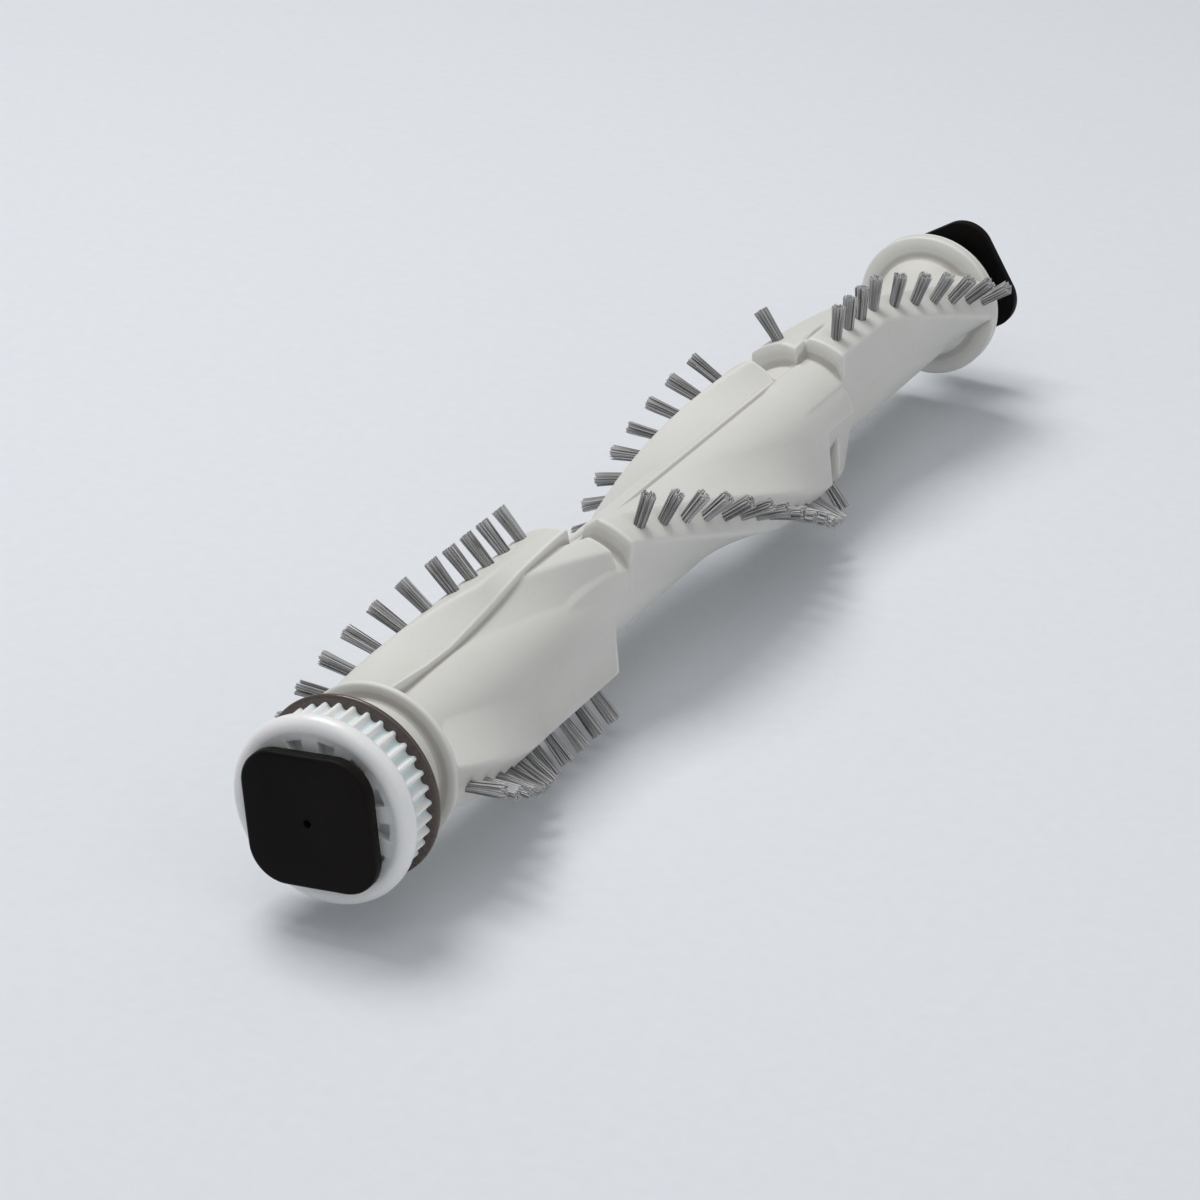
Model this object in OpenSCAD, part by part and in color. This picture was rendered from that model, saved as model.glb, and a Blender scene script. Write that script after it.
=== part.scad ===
// Vacuum cleaner brush roll: a twisted moulded roller with raked bristle tufts, a toothed belt
// pulley, a steel axle, and a square end cap on a ball bearing at each end.
// The spin axis runs along +Y with the drive end at -Y. The roll lies on its bristle tips.
// Distances along the axis are measured from the back of the drive end flange.

/* [Roller body] */
// Length between the two flange backs
roller_length = 248.8; // [230:0.1:280]
// Radius of the core between the lobes
core_radius = 10.2; // [9.4:0.1:10.8]
// Radius of the flat tops that carry the tufts
ridge_radius = 16.3; // [15.6:0.1:17.2]
// Half width of a ridge top, as an angle
ridge_half_angle = 15; // [12:0.5:17]
// Radius of the bare lobes between the ridges
lobe_radius = 14.2; // [13:0.1:15]
// Half width of a bare lobe, as an angle
lobe_half_angle = 11; // [8:0.5:12]
// Twist of the lobes per millimetre of length
twist_rate = 1.34; // [1.2:0.01:1.45]
// Radius of the bare swell in front of the idle end ridges
swell_radius = 13.3; // [12:0.1:14.5]
// Radius of the lip along the mould joint, beside the middle ridges
lip_radius = 12.3; // [11.5:0.1:13]
// Distance between the rings of the swept surfaces
ring_step = 3; // [2:0.5:6]

/* [Flanges] */
// Radius of the drive end flange
drive_flange_radius = 16.05; // [15.5:0.05:17]
// Thickness of the drive end flange
drive_flange_thickness = 1.8; // [1.2:0.1:2.4]
// Radius of the idle end flange
idle_flange_radius = 16.25; // [15.5:0.05:17]
// Thickness of the idle end flange
idle_flange_thickness = 3.4; // [2.4:0.1:4.5]
// Radius of the neck between the belt flange and the drive end flange
neck_radius = 13.3; // [12:0.1:14.5]
// Length of that neck
neck_length = 8.4; // [7:0.1:9.5]

/* [Tuft rows] */
// Pitch of the tufts along the axis
tuft_pitch = 6.37; // [6:0.01:6.5]
// Radius of a tuft where it leaves its hole
tuft_root_radius = 1.25; // [1:0.05:1.4]
// Radius of the fanned tuft tip
tuft_tip_radius = 1.65; // [1.4:0.05:1.9]
// Distance of the tuft tips from the axis
tip_circle_radius = 23.6; // [21:0.1:25]
// Rake of the tufts against the direction of spin
tuft_rake = 4.5; // [0:0.5:6]
// Depth of the tuft holes below the ridge tops
tuft_hole_depth = 4; // [3:0.1:4.5]
// Tufts in each drive end row
drive_row_tufts = 11; // [9:1:11]
// Tufts in each middle row
middle_row_tufts = 13; // [11:1:13]
// Tufts in each idle end row
idle_row_tufts = 10; // [8:1:10]

/* [Drive pulley] */
// Number of belt teeth
belt_teeth = 36; // [30:1:40]
// Pitch of the belt
belt_pitch = 3; // [2.8:0.05:3.1]
// Depth of the belt grooves
tooth_depth = 1.2; // [0.9:0.05:1.4]
// Width of the toothed band
belt_band_width = 6.2; // [5:0.1:7]
// Radius of the rounded rim at the front
pulley_rim_radius = 18.25; // [17.8:0.05:19]
// Outer radius of the thick rim bead
rim_bead_radius = 2.2; // [1.8:0.05:2.4]
// Radius of the recess in the pulley face
recess_radius = 10; // [9.9:0.05:10.4]
// Number of lightening pockets in the front face
pocket_count = 13; // [8:1:14]
// Inner radius of the lightening pockets
pocket_inner_radius = 10.9; // [10.6:0.1:12]
// Outer radius of the lightening pockets
pocket_radius = 14.1; // [13:0.1:14.4]
// Angle each pocket takes up
pocket_angle = 13.5; // [8:0.5:18]
// Depth of the lightening pockets
pocket_depth = 2; // [1:0.1:5]
// Radius of the belt flange disc
belt_flange_radius = 18.1; // [17.5:0.05:19]
// Thickness of the belt flange disc
belt_flange_thickness = 1.3; // [0.8:0.1:1.6]

/* [Axle and bearings] */
// Diameter of the axle journals and of the bearing bores
journal_diameter = 5; // [4:0.5:5.5]
// Diameter of the axle inside the roller
axle_diameter = 7; // [6.5:0.5:8]
// Outer diameter of the bearings
bearing_diameter = 16; // [15:0.5:16.5]
// Width of the bearings
bearing_width = 5; // [4.5:0.5:5.5]
// Diameter of the bearing balls
ball_diameter = 3; // [2.6:0.1:3.2]
// Number of balls in a bearing
ball_count = 7; // [6:1:8]

/* [End caps] */
// Side of the square end caps
cap_side = 26; // [24:0.1:27]
// Corner radius of the end caps
cap_corner_radius = 7.05; // [5:0.05:9]
// Thickness of the square plate of a cap
cap_plate_thickness = 2.6; // [2.2:0.1:3]
// Outer radius of the bearing cup behind the plate
cup_radius = 9.6; // [9.2:0.1:9.9]
// Rounding of the cap edges
cap_edge_radius = 0.8; // [0.4:0.1:1.2]
// Radius of the small centre dimple in a cap
dimple_radius = 0.75; // [0.5:0.05:1.5]
// Turn of the drive end cap about the axis, as photographed
drive_cap_turn = -5.2; // [-45:0.1:45]
// Turn of the idle end cap about the axis, as photographed
idle_cap_turn = -30.8; // [-45:0.1:45]

/* [Hidden] */

// Places along the axis
neck_front = -drive_flange_thickness - neck_length;
belt_flange_front = neck_front - belt_flange_thickness;
band_front = belt_flange_front - belt_band_width;
rim_middle = band_front - rim_bead_radius + 0.1;
pulley_face = rim_middle - 2;
recess_depth = 5.8;
thrust_washer_thickness = 1;
drive_shoulder = pulley_face + recess_depth;
drive_bearing_front = drive_shoulder - thrust_washer_thickness - bearing_width;
cap_floor = 1.3;
drive_cap_face = drive_bearing_front - cap_floor - cap_plate_thickness;
hub_length = 1.4;
hub_radius = 7;
idle_axle_reach = 3.2;
idle_shoulder = roller_length + hub_length + idle_axle_reach;
idle_bearing_back = idle_shoulder + thrust_washer_thickness + bearing_width;
idle_cap_face = idle_bearing_back + cap_floor + cap_plate_thickness;
part_middle = (drive_cap_face + idle_cap_face) / 2;

// Ridges: where each pair starts and ends, and the straight stretches of its tuft line
drive_ridge_end = 72;
drive_twist_end = 42.6;
drive_straight_angle = 61.9;
middle_ridge_start = 78;
middle_ridge_end = 164.5;
middle_first_tuft = 84.4;
middle_first_angle = 122.2;
idle_ridge_length = 69.5;
idle_ridge_start = roller_length - idle_ridge_length;
idle_twist_length = 46;
idle_twist_start = roller_length - idle_twist_length;
idle_straight_angle = 107.7;
single_ridge_start = 175;
single_lip_end = 188;
single_ridge_merge = 206;
short_ridge_end = 183;
bare_lobe_start = 24;
bare_lobe_end = 75;
bare_lobe_sway_start = 52;
swell_length = 33.3;
swell_start = idle_ridge_start - swell_length;
swell_angle = 114;
swell_half_angle = 14;
single_tuft_place = 178.6;
drive_first_tuft = 3.1;
idle_row_setback = 4.8;
idle_first_tuft = idle_ridge_start + idle_row_setback;
joint_angle = 90;
single_joint_offset = 4;
joint_lip_start = drive_ridge_end - 2;
joint_lip_end = middle_ridge_end - 9;

// Cones that lead from the flanges down to the core
drive_fillet_length = 9;
drive_fillet_rise = 1.6;
idle_fillet_length = 4;
idle_fillet_rise = 1.2;

// Angle of a lobe at a place along the axis
function lobe_angle(s) = middle_first_angle + twist_rate * (s - middle_first_tuft);
function drive_angle(s) = drive_straight_angle - twist_rate * max(0, drive_twist_end - s);
function idle_angle(s) = idle_straight_angle + twist_rate * max(0, s - idle_twist_start);
function single_angle(s) = lobe_angle(s) - 180;

// Point at a radius and an angle, at a place along the axis
function polar(r, a, s) = [r * cos(a), r * sin(a), s];

// Flanks touch this circle, a little inside the core
flank_circle = core_radius - 0.25;
flank_hollow = 0.99;
function flank_angle(r) = acos(flank_circle / r);

// Points on the straight flank of a ridge, from its foot in the core up to the top edge
function flank(s, corner, r, side) = [for (i = [0 : 2])
    let (p = polar(flank_circle, corner + side * flank_angle(r), 0) * (1 - i / 3)
        + polar(r, corner, 0) * i / 3)
    p * (i == 0 ? 1 : flank_hollow) + [0, 0, s]];
function reversed(list) = [for (i = [len(list) - 1 : -1 : 0]) list[i]];

// Ring of a ridge or lobe: two flanks that touch the core and a rounded top
function ridge_ring(s, a, r, half) = concat(
    flank(s, a - half, r, -1),
    [for (i = [-2 : 2]) polar(r, a + half * i / 2, s)],
    reversed(flank(s, a + half, r, 1)));

// Ring of a ridge that ends in a lip at the mould joint, or at another end angle
function lipped_ring(s, a, r, half, lip, end) = concat(
    flank(s, a - half, r, -1),
    [for (i = [-2 : 2]) polar(r, min(a + half * i / 2, end - 0.6 - 0.1 * (2 - i)), s)],
    [polar(lip, end, s)],
    [polar(flank_circle - 3, end, s)]);

// The ridge tops dip a little where they run into the flanges
function drive_ridge_radius(s) = min(ridge_radius, drive_flange_radius - 0.2 + 0.15 * max(0, s));
function idle_ridge_radius(s) = min(ridge_radius,
    idle_flange_radius - 0.2 + 0.15 * max(0, roller_length - idle_flange_thickness - s));

// Radius of the lip that the drive end ridges and the single ridge form at the mould joint
function drive_lip(s) = lookup(s, [[0, 13.4], [17, 11.6], [26, 11.3], [42, 13.1], [53, 15.2], [66, 16.1]]);
function single_lip(s) = lookup(s, [[175, 15.3], [194, 16.1]]);

// Places of the rings between two ends
function ring_places(from, to) = let (n = max(1, ceil((to - from) / ring_step)))
    [for (i = [0 : n]) from + (to - from) * i / n];

module skin(rings) {
    n = len(rings[0]);
    m = len(rings);
    points = [for (ring = rings, p = ring) p];
    sides = [for (k = [0 : m - 2], i = [0 : n - 1]) let (j = (i + 1) % n)
        each [[k * n + i, (k + 1) * n + i, (k + 1) * n + j], [k * n + i, (k + 1) * n + j, k * n + j]]];
    first = [[for (i = [0 : n - 1]) i]];
    last = [[for (i = [n - 1 : -1 : 0]) (m - 1) * n + i]];
    polyhedron(points, concat(first, sides, last), convexity = 6);
}

// Puts a shape built along the axis into place, with its length along +Y
module on_axis() translate([0, -part_middle, axis_height]) rotate([-90, 0, 0]) children();

module twice() for (turn = [0, 180]) rotate([0, 0, turn]) children();

module drive_ridge() skin([for (s = ring_places(-0.5, drive_ridge_end))
    lipped_ring(s, drive_angle(s), drive_ridge_radius(s), ridge_half_angle, drive_lip(s), joint_angle)]);

module middle_ridge() skin([for (s = ring_places(middle_ridge_start, middle_ridge_end))
    ridge_ring(s, lobe_angle(s), ridge_radius, ridge_half_angle)]);

module idle_ridge() skin([for (s = ring_places(idle_ridge_start, roller_length - 1))
    ridge_ring(s, idle_angle(s), idle_ridge_radius(s), ridge_half_angle)]);

// Ridge of a single tuft, on the helix of the middle ridges
module single_ridge(to) skin([for (s = ring_places(single_ridge_start, to))
    lipped_ring(s, single_angle(s), ridge_radius - 0.1, ridge_half_angle, single_lip(s),
        joint_angle - single_joint_offset + 1.6 * max(0, s - single_lip_end))]);

module bare_lobe(from, to) skin([for (s = ring_places(from, to))
    ridge_ring(s,
        lobe_angle(s) + 0.15 * max(0, min(s, bare_lobe_end) - bare_lobe_sway_start),
        lobe_radius, lobe_half_angle)]);

// Swell that rises to the foot of the idle end ridge
module swell() skin([for (s = ring_places(swell_start, idle_ridge_start + 2))
    ridge_ring(s, swell_angle,
        min(swell_radius, flank_circle + 0.12 * (s - swell_start) + 0.1), swell_half_angle)]);

// Straight lip along the mould joint
module joint_lip(from, to) translate([0, 0, from]) linear_extrude(to - from)
    polygon([for (p = [polar(flank_circle, joint_angle - acos(flank_circle / lip_radius), 0),
        polar(lip_radius, joint_angle - 1, 0), polar(flank_circle - 3, joint_angle - 1, 0)]) [p[0], p[1]]]);

module twisted_form() {
    twice() {
        drive_ridge();
        middle_ridge();
        idle_ridge();
        bare_lobe(bare_lobe_start, bare_lobe_end);
        swell();
        joint_lip(joint_lip_start, joint_lip_end);
    }
    single_ridge(single_ridge_merge);
    rotate([0, 0, 180]) single_ridge(short_ridge_end);
}

module roller_form() {
    translate([0, 0, neck_front])
        cylinder(r = neck_radius, h = neck_length + drive_flange_thickness / 2, $fn = 96);
    translate([0, 0, -drive_flange_thickness])
        cylinder(r = drive_flange_radius, h = drive_flange_thickness, $fn = 96);
    cylinder(r = core_radius, h = roller_length, $fn = 96);
    cylinder(r1 = core_radius + drive_fillet_rise, r2 = core_radius - 0.1,
        h = drive_fillet_length, $fn = 96);
    translate([0, 0, roller_length - idle_flange_thickness - idle_fillet_length + 1])
        cylinder(r1 = core_radius - 0.1, r2 = core_radius + idle_fillet_rise,
            h = idle_fillet_length, $fn = 96);
    translate([0, 0, roller_length]) cylinder(r = hub_radius, h = hub_length, $fn = 64);
    translate([0, 0, roller_length - idle_flange_thickness])
        cylinder(r = idle_flange_radius, h = idle_flange_thickness, $fn = 96);
    twisted_form();
}

// A tuft row: a list of places along the axis and angles
function row(first, count) = [for (i = [0 : count - 1]) first + i * tuft_pitch];
drive_tufts = [for (s = row(drive_first_tuft, drive_row_tufts)) [s, drive_angle(s)]];
middle_tufts = [for (s = row(middle_first_tuft, middle_row_tufts)) [s, lobe_angle(s)]];
idle_tufts = [for (s = row(idle_first_tuft, idle_row_tufts)) [s, idle_angle(s)]];
single_tuft = [[single_tuft_place, single_angle(single_tuft_place)]];
all_tufts = concat(drive_tufts, middle_tufts, idle_tufts, single_tuft);

// Belt grooves
band_radius = belt_teeth * belt_pitch / (2 * PI) - 0.4;
groove_radius = 0.95;
groove_sink = tooth_depth - groove_radius;
first_pocket_angle = 70;
belt_flange_bore = axle_diameter / 2 + 0.1;

// Bearings, washers and the cups that hold them
ball_circle = (journal_diameter + bearing_diameter) / 4;
ball_clearance = 0.05;
ring_gap = ball_diameter - 0.8;
dimple_depth = 1.2;
cup_length = cap_floor + bearing_width + 0.6;
relief_radius = journal_diameter / 2 + 2.4;
thrust_washer_radius = 4;
dust_washer_bore = 4.6;
dust_washer_thickness = 0.5;

// Height of the axis when the lowest tuft tips touch the floor
tuft_length = tip_circle_radius - ridge_radius;
function tip_reach(a) = tip_circle_radius * abs(sin(a - tuft_rake))
    + tuft_tip_radius * abs(cos(a - tuft_rake));
axis_height = max([for (t = all_tufts) tip_reach(t[1])]);

// Frame of a tuft: its foot on the ridge top, leaning back by the rake
module at_tuft(t) translate([0, 0, t[0]]) rotate([0, 0, t[1]]) translate([ridge_radius, 0, 0])
    rotate([0, 0, -lean]) rotate([0, 90, 0]) children();
lean = atan2(tip_circle_radius * sin(tuft_rake),
    tip_circle_radius * cos(tuft_rake) - ridge_radius);

module tuft() {
    translate([0, 0, -tuft_hole_depth]) cylinder(r = tuft_root_radius, h = tuft_hole_depth, $fn = 24);
    cylinder(r1 = tuft_root_radius, r2 = tuft_tip_radius, h = tuft_length / cos(lean), $fn = 24);
}

module tuft_hole() translate([0, 0, -tuft_hole_depth])
    cylinder(r = tuft_root_radius, h = tuft_hole_depth + 2, $fn = 24);

module tuft_row(tufts, turn) color("slategray") on_axis() rotate([0, 0, turn])
    for (t = tufts) at_tuft(t) tuft();

module roller_body() color("gainsboro") on_axis() difference() {
    roller_form();
    translate([0, 0, neck_front - 1])
        cylinder(d = axle_diameter, h = roller_length + hub_length - neck_front + 2, $fn = 64);
    twice() for (t = all_tufts) at_tuft(t) tuft_hole();
}

module axle() color("silver") on_axis() {
    translate([0, 0, drive_shoulder])
        cylinder(d = axle_diameter, h = idle_shoulder - drive_shoulder, $fn = 64);
    translate([0, 0, drive_bearing_front - 0.5])
        cylinder(d = journal_diameter, h = idle_bearing_back - drive_bearing_front + 1, $fn = 64);
}

module belt_grooves() for (i = [0 : belt_teeth - 1]) rotate([0, 0, i * 360 / belt_teeth])
    translate([band_radius - groove_sink, 0, band_front])
        cylinder(r = groove_radius, h = belt_band_width + 1, $fn = 24);

module pockets() for (i = [0 : pocket_count - 1])
    rotate([0, 0, first_pocket_angle + i * 360 / pocket_count - pocket_angle / 2])
        translate([0, 0, pulley_face - 1]) rotate_extrude(angle = pocket_angle, $fn = 96)
            translate([pocket_inner_radius, 0])
                square([pocket_radius - pocket_inner_radius, pocket_depth + 1]);

module drive_pulley() color("white") on_axis() difference() {
    union() {
        translate([0, 0, pulley_face])
            cylinder(r = pulley_rim_radius - rim_bead_radius, h = belt_flange_front - pulley_face, $fn = 96);
        translate([0, 0, band_front])
            cylinder(r = band_radius, h = belt_band_width, $fn = 96);
        translate([0, 0, rim_middle]) rotate_extrude($fn = 96)
            translate([pulley_rim_radius - rim_bead_radius, 0]) circle(r = rim_bead_radius, $fn = 48);
    }
    belt_grooves();
    pockets();
    translate([0, 0, pulley_face - rim_bead_radius])
        cylinder(r = recess_radius, h = rim_bead_radius + recess_depth, $fn = 96);
    translate([0, 0, pulley_face])
        cylinder(d = axle_diameter, h = belt_flange_front - pulley_face + 1, $fn = 64);
}

module belt_flange() color("dimgray") on_axis() translate([0, 0, belt_flange_front])
    rotate_extrude($fn = 96) {
        translate([belt_flange_bore, 0])
            square([belt_flange_radius - belt_flange_thickness / 2 - belt_flange_bore,
                belt_flange_thickness]);
        translate([belt_flange_radius - belt_flange_thickness / 2, belt_flange_thickness / 2])
            circle(d = belt_flange_thickness, $fn = 32);
    }

// Bearing ring: a tube with a ball groove, between two radii
module bearing_ring(inner, outer) rotate_extrude($fn = 96) difference() {
    translate([inner, 0]) square([outer - inner, bearing_width]);
    translate([ball_circle, bearing_width / 2]) circle(r = ball_diameter / 2 + ball_clearance, $fn = 48);
}

module inner_ring(place) color("silver") on_axis() translate([0, 0, place])
    bearing_ring(journal_diameter / 2, ball_circle - ring_gap / 2);

module outer_ring(place) color("silver") on_axis() translate([0, 0, place])
    bearing_ring(ball_circle + ring_gap / 2, bearing_diameter / 2);

module balls(place) color("silver") on_axis() translate([0, 0, place + bearing_width / 2])
    for (i = [0 : ball_count - 1]) rotate([0, 0, i * 360 / ball_count])
        translate([ball_circle, 0, 0]) sphere(d = ball_diameter, $fn = 48);

module washer(place, thickness, inner, outer, tint) color(tint) on_axis() translate([0, 0, place])
    difference() {
        cylinder(r = outer, h = thickness, $fn = 64);
        translate([0, 0, -1]) cylinder(r = inner, h = thickness + 2, $fn = 64);
    }

// Cap outline: points of the rounded front and back edges at a half width
function cap_edge(half) = concat(
    [[0, 0], [half - 0.3, 0], [half, 0.3]],
    [for (a = [90 : -30 : 0])
        [half - cap_edge_radius * (1 - sin(a)), cap_plate_thickness - cap_edge_radius * (1 - cos(a))]],
    [[0, cap_plate_thickness]]);

module cap_slab() rotate([90, 0, 0]) translate([0, 0, cap_corner_radius - cap_side / 2])
    linear_extrude(cap_side - 2 * cap_corner_radius) for (m = [0, 1]) mirror([m, 0])
        polygon(cap_edge(cap_side / 2));

module cap_plate() {
    cap_slab();
    rotate([0, 0, 90]) cap_slab();
    for (x = [-1, 1], y = [-1, 1]) translate([x, y, 0] * (cap_side / 2 - cap_corner_radius))
        rotate_extrude($fn = 64) polygon(cap_edge(cap_corner_radius));
}

// End cap with its plate up and its bearing cup below; the plate back is at zero
module end_cap(turn) color("black") rotate([0, 0, turn]) difference() {
    union() {
        cap_plate();
        translate([0, 0, -cup_length]) cylinder(r = cup_radius, h = cup_length + 0.5, $fn = 96);
    }
    translate([0, 0, -cup_length - 1])
        cylinder(d = bearing_diameter, h = cup_length - cap_floor + 1, $fn = 96);
    translate([0, 0, -cup_length]) cylinder(r = relief_radius, h = cup_length - 0.3, $fn = 64);
    translate([0, 0, cap_plate_thickness - dimple_depth]) cylinder(r = dimple_radius, h = 2, $fn = 32);
}

module drive_end_cap() on_axis() translate([0, 0, drive_cap_face + cap_plate_thickness])
    rotate([180, 0, 0]) end_cap(-drive_cap_turn);

module idle_end_cap() on_axis() translate([0, 0, idle_cap_face - cap_plate_thickness])
    end_cap(idle_cap_turn);

roller_body();
axle();
tuft_row(drive_tufts, 0);  // drive_row_a
tuft_row(drive_tufts, 180);  // drive_row_b
tuft_row(middle_tufts, 0);  // middle_row_a
tuft_row(middle_tufts, 180);  // middle_row_b
tuft_row(idle_tufts, 0);  // idle_row_a
tuft_row(idle_tufts, 180);  // idle_row_b
union() {  // single_tufts
    tuft_row(single_tuft, 0);
    tuft_row(single_tuft, 180);
}
drive_pulley();
belt_flange();
washer(drive_shoulder - thrust_washer_thickness, thrust_washer_thickness,  // drive_thrust_washer
        journal_diameter / 2, thrust_washer_radius, "gray");
washer(idle_shoulder, thrust_washer_thickness,  // idle_thrust_washer
        journal_diameter / 2, thrust_washer_radius, "gray");
inner_ring(drive_bearing_front);  // drive_inner_ring
balls(drive_bearing_front);  // drive_balls
outer_ring(drive_bearing_front);  // drive_outer_ring
washer(drive_bearing_front + bearing_width, dust_washer_thickness,  // drive_dust_washer
        dust_washer_bore, bearing_diameter / 2, "darkgray");
drive_end_cap();
inner_ring(idle_bearing_back - bearing_width);  // idle_inner_ring
balls(idle_bearing_back - bearing_width);  // idle_balls
outer_ring(idle_bearing_back - bearing_width);  // idle_outer_ring
washer(idle_bearing_back - bearing_width - dust_washer_thickness, dust_washer_thickness,  // idle_dust_washer
        dust_washer_bore, bearing_diameter / 2, "darkgray");
idle_end_cap();
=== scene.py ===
"""Looks of a vacuum cleaner brush roll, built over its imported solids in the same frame.

Places along the roll are millimetres from the back of the drive end flange. Angles are degrees
about the spin axis, with 90 at the top and 0 on the far side, as seen from the camera.
"""

import logging
import math
import random
from collections.abc import Callable, Sequence
from dataclasses import dataclass, field
from enum import Enum

import bmesh
import bpy
import numpy as np
from mathutils import Matrix, Vector


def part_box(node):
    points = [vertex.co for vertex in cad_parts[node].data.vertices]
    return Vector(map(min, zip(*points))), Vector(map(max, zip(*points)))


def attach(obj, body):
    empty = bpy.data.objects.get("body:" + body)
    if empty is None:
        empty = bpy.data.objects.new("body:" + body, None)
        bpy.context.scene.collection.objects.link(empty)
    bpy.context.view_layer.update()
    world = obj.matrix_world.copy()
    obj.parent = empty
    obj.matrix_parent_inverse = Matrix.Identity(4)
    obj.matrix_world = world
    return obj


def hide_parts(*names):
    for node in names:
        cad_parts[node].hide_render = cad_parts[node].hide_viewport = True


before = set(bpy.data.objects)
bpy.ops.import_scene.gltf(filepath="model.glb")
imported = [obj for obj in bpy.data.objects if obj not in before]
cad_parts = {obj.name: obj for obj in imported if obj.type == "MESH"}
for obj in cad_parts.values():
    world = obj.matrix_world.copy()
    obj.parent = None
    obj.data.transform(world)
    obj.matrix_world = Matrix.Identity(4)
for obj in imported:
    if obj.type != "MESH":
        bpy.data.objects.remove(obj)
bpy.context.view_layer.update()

MM = 0.001
EDGE = "edge"
log = logging.getLogger("brush_roll")


class Body(Enum):
    """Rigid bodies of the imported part."""

    ROLLER = "roller"
    DRIVE_CAP = "drive_cap"
    IDLE_CAP = "idle_cap"


class Ends(Enum):
    """How the two open rings of a turned blank are closed."""

    BRIDGED = "bridged"
    FILLED = "filled"


@dataclass(frozen=True)
class SpinAxis:
    """Place of the spin axis in the frame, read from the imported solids.

    Args:
        height: height of the axis above the floor, in metres.
        zero: place of the drive end flange's back along Y, in metres.
    """

    height: float
    zero: float

    @classmethod
    def from_frame(cls, neck_front: float) -> "SpinAxis":
        """Finds the axis from the axle and the roller body.

        Args:
            neck_front: place of the roller body's front end, in millimetres.

        Returns:
            The spin axis.
        """
        axle_low, axle_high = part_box("axle")
        body_low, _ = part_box("roller_body")
        return cls(height=(axle_low.z + axle_high.z) / 2, zero=body_low.y - neck_front * MM)

    def points(self, radius: np.ndarray, angle: np.ndarray, place: np.ndarray) -> np.ndarray:
        """Turns radii, angles and places along the roll into points of the frame.

        Args:
            radius: distances from the axis, in millimetres.
            angle: angles about the axis, in degrees.
            place: places along the roll, in millimetres.

        Returns:
            An array of points, in metres.
        """
        turn = np.radians(angle)
        return np.stack(
            [
                -radius * np.cos(turn) * MM,
                place * MM + self.zero,
                radius * np.sin(turn) * MM + self.height,
            ],
            axis=-1,
        )

    def point(self, radius: float, angle: float, place: float) -> Vector:
        """One point of the frame, from a radius, an angle and a place."""
        return Vector(self.points(np.array(radius), np.array(angle), np.array(place)))


class Socket:
    """A shader socket that can be used in expressions."""

    def __init__(self, shader: "Shader", output: bpy.types.NodeSocket) -> None:
        """Wraps an output socket of a shader."""
        self.shader = shader
        self.output = output

    def _math(self, operation: str, first: object, second: object) -> "Socket":
        """Adds a Math node of two values."""
        return self.shader.node("ShaderNodeMath", {"operation": operation}, {0: first, 1: second})

    def __add__(self, other: object) -> "Socket":
        """Sum."""
        return self._math("ADD", self, other)

    __radd__ = __add__

    def __mul__(self, other: object) -> "Socket":
        """Product."""
        return self._math("MULTIPLY", self, other)

    __rmul__ = __mul__

    def __sub__(self, other: object) -> "Socket":
        """Difference."""
        return self._math("SUBTRACT", self, other)

    def __rsub__(self, other: object) -> "Socket":
        """Difference with the socket last."""
        return self._math("SUBTRACT", other, self)


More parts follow.
